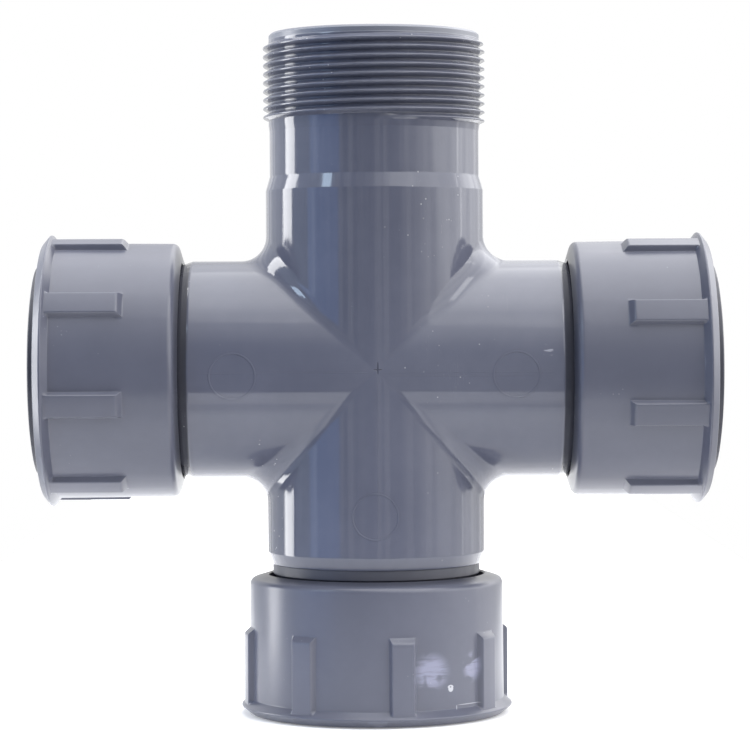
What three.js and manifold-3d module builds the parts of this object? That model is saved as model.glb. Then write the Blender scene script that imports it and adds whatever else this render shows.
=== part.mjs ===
// Cross fitting for 2 inch plastic pipework, in millimetres, +Z up.
// A moulded cross body has a male threaded port on top. Its other three ports each hold a solvent-welded
// tailpiece with a face O-ring, and a captive swivel nut that turns and slides on the tailpiece's neck.
// A split retaining ring inside each nut stops it from pulling off over the tailpiece's end collar.
// The origin is at the centre of the bottom nut's rest face. Port pieces are built along +Y, outwards.
import * as THREE from "three";
import { mergeVertices } from "three/addons/utils/BufferGeometryUtils.js";
import Module from "manifold-3d";

const wasm = await Module();
wasm.setup();

// Cross body
const CENTRE_HEIGHT = 92; // from the rest face to the point where the two axes cross
const ARM_RADIUS = 29.2;
const BORE_RADIUS = 24;
const CROTCH_FILLET = 6.6; // radius of the fillet between neighbouring arms
const SWIVEL_STEP_START = 48.8; // where a swivel arm starts to taper
const SWIVEL_ARM_END = 52;
const SWIVEL_ARM_END_RADIUS = 28.1;
const SOCKET_RADIUS = 26.1;
const SOCKET_FLOOR = 34;

// Male threaded port, G2: Whitworth form, 11 threads per inch
const PITCH = 25.4 / 11;
const FLANK_SLOPE = Math.tan(THREE.MathUtils.degToRad(27.5));
const MALE_CREST_RADIUS = 29.807;
const MALE_ROOT_RADIUS = 28.328;
const PORT_END = 90;
const PORT_STEP_START = 47.9;
const PORT_STEP_END = 51.7;
const PORT_RELIEF_RADIUS = 28.1;
const THREAD_BLANK_START = 65.2;
const THREAD_BLANK_END = 87.9;
const LEAD_IN_START = 88.3;
const LEAD_IN_RADIUS = 28.2;
const EDGE_CHAMFER = 0.6;
const MALE_THREAD_START = 65.82; // axial place of the helix at the front of the port
const MALE_THREAD_TURNS = 9.4;

// Tailpiece and its O-ring
const SPIGOT_RADIUS = 25.8;
const TAIL_BORE_RADIUS = 23.5;
const SHOULDER_START = 52.3;
const SHOULDER_END = 54.6;
const SHOULDER_RADIUS = 27.8;
const NECK_RADIUS = 26.9;
const COLLAR_START = 86.7;
const COLLAR_RADIUS = 28.05;
const TAIL_END = 90.5;
const SEAL_RADIUS = 26;
const SEAL_SECTION_RADIUS = 1.1;
const SEAL_GAP = 0.3; // between the O-ring and its groove
const SEAL_STANDS_PROUD = 0.3;

// Swivel nut
const NUT_LENGTH = 35.9;
const NUT_RADIUS = 33.95;
const NUT_RADIUS_AT_RIM = 34.2;
const NUT_CORNER = 1.3;
const RIM_RADIUS = 36.35;
const RIM_EDGE = 2.3; // size of the rim's outer chamfer, across its radius
const RIM_CONE_START = 31.9; // distances below are from the outer corner of the nut's inner end
const RIM_START = 33.6;
const RIM_END = 34;
const LIP_THICKNESS = 4;
const LIP_RADIUS = 28.9;
const LIP_CHAMFER = 0.4;
const LIP_RISE = 1.3; // how much nearer the crossing the inner end's hole stands than its outer corner
const RING_SEAT_RADIUS = 30.1;
const RING_SEAT_END = 8.2;
const FEMALE_CREST_RADIUS = 28.45;
const FEMALE_ROOT_RADIUS = 29.95;
const FEMALE_THREAD_START = 16.2;
const FEMALE_THREAD_TURNS = 6;
const MOUTH_START = 31.9;
const MOUTH_RADIUS = 30.9;

// Grip ribs
const RIB_COUNT = 8;
const RIB_START = 12.8;
const RIB_END = 33.9;
const RIB_BEVEL = 1.4;
const RIB_TOP_RADIUS = 35.7;
const RIB_BASE_RADIUS = 33.1;
const RIB_TOP_WIDTH = 5.9;
const RIB_BASE_WIDTH = 7;

// Split retaining ring
const RING_INNER_RADIUS = 27.3;
const RING_OUTER_RADIUS = 29.6;
const RING_THICKNESS = 3.2;
const RING_FROM_NUT_FACE = 4.3;
const RING_SPLIT = 2;

// Where each swivel nut rests: how far its inner end is from the centre, and how its ribs are turned
const SIDE_NUT_FACE = 52.8;
const BOTTOM_NUT_FACE = CENTRE_HEIGHT - NUT_LENGTH;
const SWIVEL_PORTS = [
  { name: "left", heading: -90, nutFace: SIDE_NUT_FACE, ribTurn: 31 },
  { name: "right", heading: 90, nutFace: SIDE_NUT_FACE, ribTurn: -26 },
  { name: "bottom", heading: 180, nutFace: BOTTOM_NUT_FACE, ribTurn: -11 },
];

// Mesh fineness
const ROUND_STEPS = 28;
const FILLET_STEPS = 3;
const THREAD_STEPS = 28; // steps in one turn
const SEAL_STEPS = 6;
const MERGE_DISTANCE = 1e-4;

// Threads, as closed ridges that are joined to a wall
const THREAD_CREST_HALF_WIDTH = 0.18;
const THREAD_EMBED = 0.3; // how far a thread's base reaches into the wall that carries it
const THREAD_FADE_TURNS = 0.25;
const THREAD_END_HEIGHT = 0.12; // share of the full height that is left at its ends

const bodyMaterial = new THREE.MeshStandardMaterial({ color: 0x6c7480, roughness: 0.22, metalness: 0 });
const tailMaterial = new THREE.MeshStandardMaterial({ color: 0x4b4f57, roughness: 0.2, metalness: 0 });
const nutMaterial = new THREE.MeshStandardMaterial({ color: 0x757c86, roughness: 0.5, metalness: 0 });
const ringMaterial = new THREE.MeshStandardMaterial({ color: 0xd8d8d2, roughness: 0.45, metalness: 0 });
const sealMaterial = new THREE.MeshStandardMaterial({ color: 0x17181a, roughness: 0.6, metalness: 0 });

// A closed geometry with shared vertices merged and collapsed triangles left out.
function closedGeometry(geometry) {
  const bare = geometry.clone();
  bare.deleteAttribute("normal");
  bare.deleteAttribute("uv");
  const merged = mergeVertices(bare, MERGE_DISTANCE);
  const corners = merged.index.array;
  const kept = [];
  for (let i = 0; i < corners.length; i += 3) {
    const [a, b, c] = corners.subarray(i, i + 3);
    if (a !== b && b !== c && c !== a) {
      kept.push(a, b, c);
    }
  }
  merged.setIndex(kept);
  return merged;
}

function solidOf(geometry) {
  const closed = closedGeometry(geometry);
  const mesh = new wasm.Mesh({
    numProp: 3,
    vertProperties: new Float32Array(closed.attributes.position.array),
    triVerts: new Uint32Array(closed.index.array),
  });
  return new wasm.Manifold(mesh);
}

function geometryOf(solid) {
  const mesh = solid.getMesh();
  const geometry = new THREE.BufferGeometry();
  geometry.setAttribute("position", new THREE.BufferAttribute(mesh.vertProperties, 3));
  geometry.setIndex(new THREE.BufferAttribute(mesh.triVerts, 1));
  geometry.computeVertexNormals();
  return geometry;
}

// Revolves a closed outline of [radius, place along the axis] pairs about +Y.
function revolve(outline) {
  const points = outline.map(([radius, along]) => new THREE.Vector2(radius, along));
  points.push(points[0].clone());
  return new THREE.LatheGeometry(points, ROUND_STEPS);
}

// Joins a grid of points, one row per list, into triangles. `flip` turns the faces over.
function gridTriangles(rows, flip) {
  const triangles = [];
  for (let i = 0; i + 1 < rows.length; i++) {
    for (let j = 0; j + 1 < rows[i].length; j++) {
      const quad = [rows[i][j], rows[i + 1][j], rows[i + 1][j + 1], rows[i][j + 1]];
      const order = flip ? [0, 2, 1, 0, 3, 2] : [0, 1, 2, 0, 2, 3];
      triangles.push(...order.map((corner) => quad[corner]));
    }
  }
  return triangles;
}

function geometryOfTriangles(triangles) {
  return new THREE.BufferGeometry().setFromPoints(triangles);
}

// Outline of an arm beyond the crossing: out along the skin, over the port's end and back along the bore.
function swivelArmOutline() {
  return [
    [ARM_RADIUS, SWIVEL_STEP_START],
    [SWIVEL_ARM_END_RADIUS, SWIVEL_ARM_END],
    [SOCKET_RADIUS, SWIVEL_ARM_END],
    [SOCKET_RADIUS, SOCKET_FLOOR],
    [BORE_RADIUS, SOCKET_FLOOR],
  ];
}

function threadedArmOutline() {
  return [
    [ARM_RADIUS, PORT_STEP_START],
    [PORT_RELIEF_RADIUS, PORT_STEP_END],
    [PORT_RELIEF_RADIUS, THREAD_BLANK_START - 1],
    [MALE_ROOT_RADIUS, THREAD_BLANK_START],
    [MALE_ROOT_RADIUS, THREAD_BLANK_END],
    [LEAD_IN_RADIUS, LEAD_IN_START],
    [LEAD_IN_RADIUS, PORT_END - EDGE_CHAMFER],
    [LEAD_IN_RADIUS - EDGE_CHAMFER, PORT_END],
    [BORE_RADIUS + EDGE_CHAMFER, PORT_END],
    [BORE_RADIUS, PORT_END - EDGE_CHAMFER],
  ];
}

// One meridian of an arm, at an angle from the neighbouring arm (0) towards the front (90) or back (-90).
// The fillet is the trace of a ball that rolls along both arms, and the arms meet in the diagonal plane.
// Points are (along the arm, towards the neighbour, towards the front).
function armMeridian(angle, outline) {
  const cos = Math.abs(angle) === 90 ? 0 : Math.cos(THREE.MathUtils.degToRad(angle));
  const sin = Math.sin(THREE.MathUtils.degToRad(angle));
  const reach = ARM_RADIUS + CROTCH_FILLET;
  const ball = new THREE.Vector3(reach * cos, reach * cos, reach * sin);
  const toThisArm = new THREE.Vector3(0, -cos, -sin);
  const toNeighbour = new THREE.Vector3(-cos, 0, -sin);
  const points = [];
  for (let step = 0; step <= FILLET_STEPS; step++) {
    const share = 0.5 * (1 - step / FILLET_STEPS);
    const direction = toThisArm.clone().lerp(toNeighbour, share).normalize();
    points.push(ball.clone().addScaledVector(direction, CROTCH_FILLET));
  }
  for (const [radius, along] of outline) {
    points.push(new THREE.Vector3(along, radius * cos, radius * sin));
  }
  points.push(new THREE.Vector3(BORE_RADIUS * cos, BORE_RADIUS * cos, BORE_RADIUS * sin));
  return points;
}

// Both halves of one arm. `heading` turns the arm from straight up towards +X.
function armTriangles(heading, outline) {
  const turn = THREE.MathUtils.degToRad(heading);
  const place = (point, side) =>
    new THREE.Vector3(side * point.y, -point.z, point.x).applyAxisAngle(new THREE.Vector3(0, 1, 0), turn);
  const halfSteps = ROUND_STEPS / 2;
  const triangles = [];
  for (const side of [1, -1]) {
    const rows = [];
    for (let i = 0; i <= halfSteps; i++) {
      const meridian = armMeridian(-90 + (180 * i) / halfSteps, outline);
      rows.push(meridian.map((point) => place(point, side)));
    }
    triangles.push(...gridTriangles(rows, side > 0));
  }
  return triangles;
}

// The closed section of a thread ridge as [radius, offset along the axis] corners.
function ridgeSection(baseRadius, crestRadius, baseHalfWidth) {
  return [
    [baseRadius, -baseHalfWidth],
    [crestRadius, -THREAD_CREST_HALF_WIDTH],
    [crestRadius, THREAD_CREST_HALF_WIDTH],
    [baseRadius, baseHalfWidth],
    [baseRadius, -baseHalfWidth],
  ];
}

// A helical ridge of Whitworth form about +Y that fades out at both ends. `outward` is 1 for a male thread
// and -1 for a female one, whose flat steps are moved out so that they stay buried in their wall.
function threadRidge({ crestRadius, rootRadius, start, turns, outward }) {
  const steps = Math.round(turns * THREAD_STEPS);
  const stretch = outward > 0 ? 1 : 1 / Math.cos(Math.PI / THREAD_STEPS);
  const baseRadius = rootRadius - outward * THREAD_EMBED;
  const height = crestRadius - baseRadius;
  const baseHalfWidth = THREAD_CREST_HALF_WIDTH + Math.abs(height) * FLANK_SLOPE;
  const rows = [];
  for (let i = 0; i <= steps; i++) {
    const turn = i / THREAD_STEPS;
    const angle = 2 * Math.PI * turn;
    const turnsLeft = (steps - i) / THREAD_STEPS;
    const fade = Math.min(1, turn / THREAD_FADE_TURNS, turnsLeft / THREAD_FADE_TURNS);
    const crest = baseRadius + height * Math.max(fade, THREAD_END_HEIGHT);
    const row = ridgeSection(baseRadius, crest, baseHalfWidth).map(([radius, offset]) => {
      const reach = radius * stretch;
      const along = start + PITCH * turn + offset;
      return new THREE.Vector3(reach * Math.sin(angle), along, reach * Math.cos(angle));
    });
    rows.push(row);
  }
  const flip = outward < 0;
  const triangles = gridTriangles(rows, flip);
  const fan = flip ? [0, 2, 1, 0, 3, 2] : [0, 1, 2, 0, 2, 3];
  for (const cap of [rows[0], rows[steps].slice().reverse()]) {
    triangles.push(...fan.map((corner) => cap[corner]));
  }
  return geometryOfTriangles(triangles);
}

function maleThread() {
  const ridge = threadRidge({
    crestRadius: MALE_CREST_RADIUS,
    rootRadius: MALE_ROOT_RADIUS,
    start: MALE_THREAD_START,
    turns: MALE_THREAD_TURNS,
    outward: 1,
  });
  return ridge.rotateX(Math.PI / 2);
}

function crossBody() {
  const triangles = armTriangles(0, threadedArmOutline());
  for (const port of SWIVEL_PORTS) {
    triangles.push(...armTriangles(port.heading, swivelArmOutline()));
  }
  const shell = solidOf(geometryOfTriangles(triangles));
  return geometryOf(shell.add(solidOf(maleThread())));
}

function tailpiece() {
  const grooveHalfWidth = SEAL_SECTION_RADIUS + SEAL_GAP;
  const grooveFloor = TAIL_END + SEAL_STANDS_PROUD - 2 * SEAL_SECTION_RADIUS - SEAL_GAP;
  const shoulderDrop = SHOULDER_RADIUS - NECK_RADIUS;
  return revolve([
    [TAIL_BORE_RADIUS, SOCKET_FLOOR + SEAL_GAP],
    [SPIGOT_RADIUS, SOCKET_FLOOR + SEAL_GAP],
    [SPIGOT_RADIUS, SHOULDER_START],
    [SHOULDER_RADIUS, SHOULDER_START],
    [SHOULDER_RADIUS, SHOULDER_END],
    [NECK_RADIUS, SHOULDER_END + shoulderDrop],
    [NECK_RADIUS, COLLAR_START],
    [COLLAR_RADIUS, COLLAR_START],
    [COLLAR_RADIUS, TAIL_END],
    [SEAL_RADIUS + grooveHalfWidth, TAIL_END],
    [SEAL_RADIUS + grooveHalfWidth, grooveFloor],
    [SEAL_RADIUS - grooveHalfWidth, grooveFloor],
    [SEAL_RADIUS - grooveHalfWidth, TAIL_END],
    [TAIL_BORE_RADIUS, TAIL_END],
  ]);
}

function oRing() {
  const ring = new THREE.TorusGeometry(SEAL_RADIUS, SEAL_SECTION_RADIUS, SEAL_STEPS, ROUND_STEPS);
  return closedGeometry(ring.rotateX(Math.PI / 2));
}

function retainingRing() {
  const band = revolve([
    [RING_INNER_RADIUS, 0],
    [RING_OUTER_RADIUS, 0],
    [RING_OUTER_RADIUS, RING_THICKNESS],
    [RING_INNER_RADIUS, RING_THICKNESS],
  ]);
  const slot = new THREE.BoxGeometry(RING_OUTER_RADIUS, 2 * RING_THICKNESS, RING_SPLIT);
  slot.translate(-RING_OUTER_RADIUS, 0, 0);
  slot.translate(0, RING_THICKNESS / 2, 0);
  return geometryOf(solidOf(band).subtract(solidOf(slot)));
}

function nutShell() {
  return revolve([
    [LIP_RADIUS + LIP_CHAMFER, -LIP_RISE],
    [NUT_RADIUS - NUT_CORNER, 0],
    [NUT_RADIUS, NUT_CORNER],
    [NUT_RADIUS_AT_RIM, RIM_CONE_START],
    [RIM_RADIUS, RIM_START],
    [RIM_RADIUS, RIM_END],
    [RIM_RADIUS - RIM_EDGE, NUT_LENGTH],
    [MOUTH_RADIUS, NUT_LENGTH],
    [FEMALE_ROOT_RADIUS, MOUTH_START],
    [FEMALE_ROOT_RADIUS, RING_SEAT_END],
    [RING_SEAT_RADIUS, RING_SEAT_END],
    [RING_SEAT_RADIUS, LIP_THICKNESS],
    [LIP_RADIUS, LIP_THICKNESS],
    [LIP_RADIUS, LIP_CHAMFER - LIP_RISE],
  ]);
}

// A grip rib with sloping sides and a bevelled inner end, standing on the front of the nut. It is extruded
// one unit wide, and each point's half unit is then stretched to the rib's width at that height.
function gripRib() {
  const side = new THREE.Shape([
    new THREE.Vector2(RIB_BASE_RADIUS, RIB_START - RIB_BEVEL / 2),
    new THREE.Vector2(RIB_TOP_RADIUS, RIB_START + RIB_BEVEL),
    new THREE.Vector2(RIB_TOP_RADIUS, RIB_END),
    new THREE.Vector2(RIB_BASE_RADIUS, RIB_END),
  ]);
  const rib = new THREE.ExtrudeGeometry(side, { depth: 1, bevelEnabled: false });
  rib.translate(0, 0, -0.5);
  rib.rotateY(-Math.PI / 2);
  const position = rib.attributes.position;
  const middleRadius = (RIB_BASE_RADIUS + RIB_TOP_RADIUS) / 2;
  for (let i = 0; i < position.count; i++) {
    const width = position.getZ(i) > middleRadius ? RIB_TOP_WIDTH : RIB_BASE_WIDTH;
    position.setX(i, position.getX(i) * width);
  }
  return rib;
}

function swivelNut() {
  const ridge = threadRidge({
    crestRadius: FEMALE_CREST_RADIUS,
    rootRadius: FEMALE_ROOT_RADIUS,
    start: FEMALE_THREAD_START,
    turns: FEMALE_THREAD_TURNS,
    outward: -1,
  });
  let nut = solidOf(nutShell()).add(solidOf(ridge));
  for (let i = 0; i < RIB_COUNT; i++) {
    nut = nut.add(solidOf(gripRib().rotateY((2 * Math.PI * i) / RIB_COUNT)));
  }
  return geometryOf(nut);
}

function namedMesh(name, geometry, material) {
  const mesh = new THREE.Mesh(geometry, material.clone());
  mesh.name = name;
  return mesh;
}

// The pieces of one swivel port, placed along the port's own +Y.
function swivelPort({ name, heading, nutFace, ribTurn }) {
  const tail = namedMesh(name + "_tailpiece", tailpiece(), tailMaterial);
  const seal = namedMesh(name + "_o_ring", oRing(), sealMaterial);
  seal.position.y = TAIL_END + SEAL_STANDS_PROUD - SEAL_SECTION_RADIUS;
  const ring = namedMesh(name + "_retaining_ring", retainingRing(), ringMaterial);
  ring.position.y = nutFace + RING_FROM_NUT_FACE;
  const nut = namedMesh(name + "_nut", swivelNut(), nutMaterial);
  nut.position.y = nutFace;
  nut.rotation.y = THREE.MathUtils.degToRad(ribTurn);
  const upright = new THREE.Group().add(tail, seal, ring, nut);
  upright.rotation.x = Math.PI / 2;
  const port = new THREE.Group().add(upright);
  port.rotation.y = THREE.MathUtils.degToRad(heading);
  return port;
}

const group = new THREE.Group();
const fitting = new THREE.Group();
fitting.position.z = CENTRE_HEIGHT;
fitting.add(namedMesh("cross_body", crossBody(), bodyMaterial));
SWIVEL_PORTS.forEach((port) => fitting.add(swivelPort(port)));
group.add(fitting);

export default group;
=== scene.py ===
import math

import bmesh
import bpy
import numpy as np
from mathutils import Matrix, Vector


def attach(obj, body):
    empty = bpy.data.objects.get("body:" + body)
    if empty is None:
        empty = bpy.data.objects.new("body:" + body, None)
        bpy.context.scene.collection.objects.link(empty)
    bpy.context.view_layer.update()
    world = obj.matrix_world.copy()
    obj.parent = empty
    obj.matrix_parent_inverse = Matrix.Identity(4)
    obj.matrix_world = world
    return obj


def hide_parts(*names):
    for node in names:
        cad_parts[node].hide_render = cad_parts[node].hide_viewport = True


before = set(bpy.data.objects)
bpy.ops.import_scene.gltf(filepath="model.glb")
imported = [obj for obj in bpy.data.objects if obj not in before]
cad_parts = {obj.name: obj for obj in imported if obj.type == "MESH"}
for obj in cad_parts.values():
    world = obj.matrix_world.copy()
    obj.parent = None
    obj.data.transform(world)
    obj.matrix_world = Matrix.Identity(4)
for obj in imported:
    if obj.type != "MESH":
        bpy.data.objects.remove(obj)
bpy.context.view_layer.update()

MM = 0.001
TAU = 2 * math.pi

# Sizes in millimetres, as in the CAD. A port's pieces are made along its own outward axis, and "along" is
# the distance from the point where the two pipe axes cross.
CENTRE_HEIGHT = 92
ARM_RADIUS = 29.2
BORE_RADIUS = 24
CROTCH_FILLET = 6.6
SWIVEL_STEP_START = 48.8
SWIVEL_ARM_END = 52
SWIVEL_ARM_END_RADIUS = 28.1
SOCKET_RADIUS = 26.1
SOCKET_FLOOR = 34

# Distances on an arm's plain cylinder and in its bore that only aim an outline's first or last corner
ARM_GUIDE = 36
BORE_GUIDE = 25

PITCH = 25.4 / 11
MALE_CREST_RADIUS = 29.807
MALE_ROOT_RADIUS = 28.328
PORT_END = 90
PORT_STEP_START = 47.9
PORT_STEP_END = 51.7
PORT_RELIEF_RADIUS = 28.1
THREAD_BLANK_START = 65.2
THREAD_BLANK_END = 87.9
RELIEF_CONE = 1.5
LEAD_IN_RADIUS = 28.2
LEAD_IN_CONE = 0.4
EDGE_CHAMFER = 0.6
MALE_FIRST_CREST = 65.82
MALE_THREAD_START = MALE_FIRST_CREST - PITCH / 2
MALE_THREAD_TURNS = 9.4
MALE_THREAD_INSET = 0.05

SPIGOT_RADIUS = 25.8
TAIL_BORE_RADIUS = 23.5
SHOULDER_START = 52.02
SHOULDER_END = 54.6
SHOULDER_RADIUS = 27.8
NECK_RADIUS = 26.9
COLLAR_START = 86.7
COLLAR_RADIUS = 28.05
TAIL_END = 90.5
SEAL_RADIUS = 26
SEAL_SECTION_RADIUS = 1.1
SEAL_GAP = 0.3
SEAL_STANDS_PROUD = 0.3

NUT_LENGTH = 35.9
NUT_RADIUS = 33.95
NUT_RADIUS_AT_RIM = 34.2
NUT_CORNER = 1.6
NUT_CORNER_START = 0.1
RIM_RADIUS = 36.35
RIM_EDGE = 2.3
RIM_CONE_START = 31.9
RIM_START = 33.6
RIM_END = 34
LIP_THICKNESS = 4
LIP_RADIUS = 28.9
LIP_CHAMFER = 0.4
LIP_RISE = 1.3
RING_SEAT_RADIUS = 30.1
RING_SEAT_END = 8.2
FEMALE_CREST_RADIUS = 28.45
FEMALE_ROOT_RADIUS = 29.95
FEMALE_FIRST_CREST = 16.2
FEMALE_THREAD_START = FEMALE_FIRST_CREST - PITCH / 2
FEMALE_THREAD_TURNS = 6
FEMALE_THREAD_INSET = 0.1
MOUTH_START = 31.9
MOUTH_RADIUS = 30.9

RIB_COUNT = 8
RIB_START = 12.8
RIB_BEVEL = 1.4
RIB_TOP_RADIUS = 35.7
RIB_TOP_WIDTH = 5.9
RIB_BASE_WIDTH = 7
RIB_FOOT_ROUNDING = 0.12
RIB_TOP_ROUNDING = 0.3

# Half of a rib's width at its top and at its base, as angles in radians
RIB_TOP_ANGLE = RIB_TOP_WIDTH / 2 / RIB_TOP_RADIUS
RIB_BASE_ANGLE = RIB_BASE_WIDTH / 2 / NUT_RADIUS

RING_INNER_RADIUS = 27.3
RING_OUTER_RADIUS = 29.6
RING_THICKNESS = 3.2
RING_FROM_NUT_FACE = 4.3
RING_SPLIT = 2

SIDE_NUT_FACE = 52.8
SWIVEL_PORTS = {
    "left": {"heading": -90, "nut_face": SIDE_NUT_FACE, "rib_turn": 31},
    "right": {"heading": 90, "nut_face": SIDE_NUT_FACE, "rib_turn": -26},
    "bottom": {"heading": 180, "nut_face": CENTRE_HEIGHT - NUT_LENGTH, "rib_turn": -11},
}

# Fine raised lines that the mould leaves on the arms' fronts. The first number by a port's name is how far
# sideways the line is from the front of the arm, and a second one is how far it is from the crossing.
LINE_EMBED = 0.1
PIN_MARKS = {"left": (-1.2, 37.4), "right": (1, 36.5), "bottom": (0.3, 37.9)}
PIN_MARK_RADIUS = 6
PIN_LINE_HALF_WIDTH = 0.3
PIN_LINE_HEIGHT = 0.12
PARTING_LINES = [("left", -0.4), ("right", 0.35), ("right", 1.3), ("bottom", -0.4)]
PARTING_START = 2
PARTING_END = 46
PARTING_HALF_WIDTH = 0.18
PARTING_HEIGHT = 0.04

# Marks of making and handling on the front. Each is (x, z) of its middle, and half its width and height.
CROSS_MARK = [((0.5, 92.8), (0.25, 1.9)), ((0.5, 92.4), (1.3, 0.2))]
SCUFF = ((44.7, 97.2), (1.6, 2.4))
SMEARS = [((14, 13.9), (5.6, 6)), ((24.8, 14.6), (3, 4.8))]
GATE_MARK = [((19, 9.8), (0.85, 0.6)), ((19.05, 9.35), (0.75, 1))]
GATE_PIT = ((19, 9.8), (0.3, 0.3))
FLASH_LINES = [((24, 4.9), (3.6, 0.16)), ((20.6, 4.3), (0.16, 0.7))]

# Where painted shade starts on the side arms' step cones, where the port's machined end starts above the
# floor, and over what distance each fades in. The painted shade on a nut's lip fades out between two
# distances inward of the nut's face.
PAINTED_CONE_SHADE_START = SWIVEL_STEP_START + 0.2
PAINTED_CONE_SHADE_FADE = 0.4
MACHINED_START = CENTRE_HEIGHT + THREAD_BLANK_END
MACHINED_FADE = 0.3
PAINTED_LIP_SHADE_FADE = (1, 0.1)

# Colours, as red, green, blue and alpha
WHITE = (1, 1, 1, 1)
BODY_DARK = (0.092, 0.098, 0.134, 1)
BODY_LIGHT = (0.104, 0.11, 0.148, 1)
BODY_SPECKS = (0.42, 0.43, 0.45, 1)
BODY_HAIRS = (0.3, 0.31, 0.34, 1)
MACHINED = (0.18, 0.19, 0.225, 1)
# Painted shade for the side arms' step cones
PAINTED_CONE_SHADE = (0.026, 0.026, 0.03, 1)
SCUFFED = (0.5, 0.51, 0.56, 1)
CROSS_MARK_SHADE = (0.03, 0.032, 0.05, 1)
NUT_DARK = (0.087, 0.092, 0.124, 1)
NUT_LIGHT = (0.095, 0.1, 0.134, 1)
NUT_SPECKS = (0.36, 0.37, 0.4, 1)
NUT_WORN = (0.22, 0.23, 0.28, 1)
# Painted shade at a nut's lip
PAINTED_LIP_SHADE = (0.03, 0.032, 0.044, 1)
SMEARED = (0.34, 0.35, 0.48, 1)
GATE_SCAR = (0.5, 0.51, 0.55, 1)
GATE_PIT_SHADE = (0.1, 0.1, 0.12, 1)
FLASH = (0.45, 0.46, 0.5, 1)
TAIL_DARK = (0.058, 0.06, 0.078, 1)
TAIL_LIGHT = (0.068, 0.07, 0.088, 1)
TAIL_SPECKS = (0.3, 0.3, 0.3, 1)
ACETAL_DARK = (0.6, 0.6, 0.56, 1)
ACETAL_LIGHT = (0.72, 0.72, 0.68, 1)
RUBBER_DARK = (0.012, 0.012, 0.013, 1)
RUBBER_LIGHT = (0.028, 0.028, 0.029, 1)
RUBBER_BLOOM = (0.2, 0.2, 0.19, 1)
FLOOR_DARK = (0.84, 0.84, 0.85, 1)
FLOOR_LIGHT = (0.88, 0.88, 0.89, 1)
FLOOR_FRONT_SHADE = (0.3, 0.3, 0.31, 1)
ROOM_BLUE = (0.85, 0.92, 1, 1)
LEFT_BLUE = (0.45, 0.7, 1, 1)

# The studio, in metres and degrees, with the camera's sensor and lens in millimetres
CAMERA_PLACE = (-0.0038, -0.7718, 0.1074)
CAMERA_AIM = (-0.0001, 0, 0.0904)
CAMERA_SENSOR = 36
CAMERA_LENS = 137.6
CAMERA_ROLL = -0.3
CAMERA_NEAREST = 0.05
FLOOR_HALF_WIDTH = 0.16
FLOOR_FRONT = -0.232
FLOOR_BACK = 1.5
FLOOR_GAP = 0.0002

# The floor's front edge glows brightly and the rest of it faintly. Each pair is where a change starts and
# ends, from the front to the back.
FLOOR_EDGE_GLOW = 1.1
FLOOR_EDGE_FADE = (-0.16, -0.13)
FLOOR_GLOW = 0.2
FLOOR_GLOW_RISE = (-0.13, -0.08)
FLOOR_SHADE_FADE = (-0.16, -0.09)

# The world's glows. Each range is where along its direction a glow starts and where it is full. The
# right-hand glow and its doorway lie along a direction that leans upward, and the stripes follow a noise.
ROOM_GLOW = 0.02
LEFT_GLOW = 0.16
LEFT_RANGE = (-0.2, -0.9)
RIGHT_GLOW = 1.5
RIGHT_RANGE = (0.42, 1.1)
RIGHT_UPWARD = 1.3
DOORWAY_GLOW = 1.1
DOORWAY_RANGE = (0.95, 1.02)
STRIPE_GLOW = 0.45
STRIPE_RANGE = (0.5, 0.56)
STRIPE_SCALE = 8
TOP_GLOW = 1.5
TOP_RANGE = (0.86, 1)
TOP_DIMMED_BEHIND = 0.7
BEHIND_GLOW = 0.9
BEHIND_RANGE = (0.15, 0.45)

# How finely the meshes are made, and what is too small to matter in them
BODY_COLUMNS = 240
ROUND_COLUMNS = 160
FILLET_STEPS = 14
THREAD_FADE_TURNS = 0.3
SHARP_DEGREES = 40
WELD_DISTANCE = 1e-7
SHORTEST_EDGE = 1e-8
TINY = 1e-9
SMALL_ANGLE = 1e-4


# ---------------------------------------------------------------- mesh tools

def port_matrix(heading):
    """Columns are the port's sideways, front and outward directions, in the frame's axes."""
    a = math.radians(heading)
    side = (math.cos(a), 0, -math.sin(a))
    front = (0, -1, 0)
    outward = (math.sin(a), 0, math.cos(a))
    return np.array([side, front, outward]).T


def rounded_outline(corners, steps=5):
    """Points (radius, along) of a closed outline. A corner is (radius, along, rounding)."""
    points = []
    count = len(corners)
    for i, (radius, along, rounding) in enumerate(corners):
        here = np.array([radius, along], float)
        if rounding <= 0:
            points.append(here)
            continue
        before = np.array(corners[i - 1][:2], float) - here
        after = np.array(corners[(i + 1) % count][:2], float) - here
        before_unit = before / np.linalg.norm(before)
        after_unit = after / np.linalg.norm(after)
        half = math.acos(np.clip(before_unit @ after_unit, -1, 1)) / 2
        reach = rounding / math.tan(half)
        bisector = before_unit + after_unit
        centre = here + bisector / np.linalg.norm(bisector) * rounding / math.sin(half)
        start = here + before_unit * reach - centre
        end = here + after_unit * reach - centre
        sweep = math.pi - 2 * half
        for k in range(steps + 1):
            share = k / steps
            arm = (math.sin((1 - share) * sweep) * start + math.sin(share * sweep) * end) / math.sin(sweep)
            points.append(centre + arm)
    return points


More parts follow.
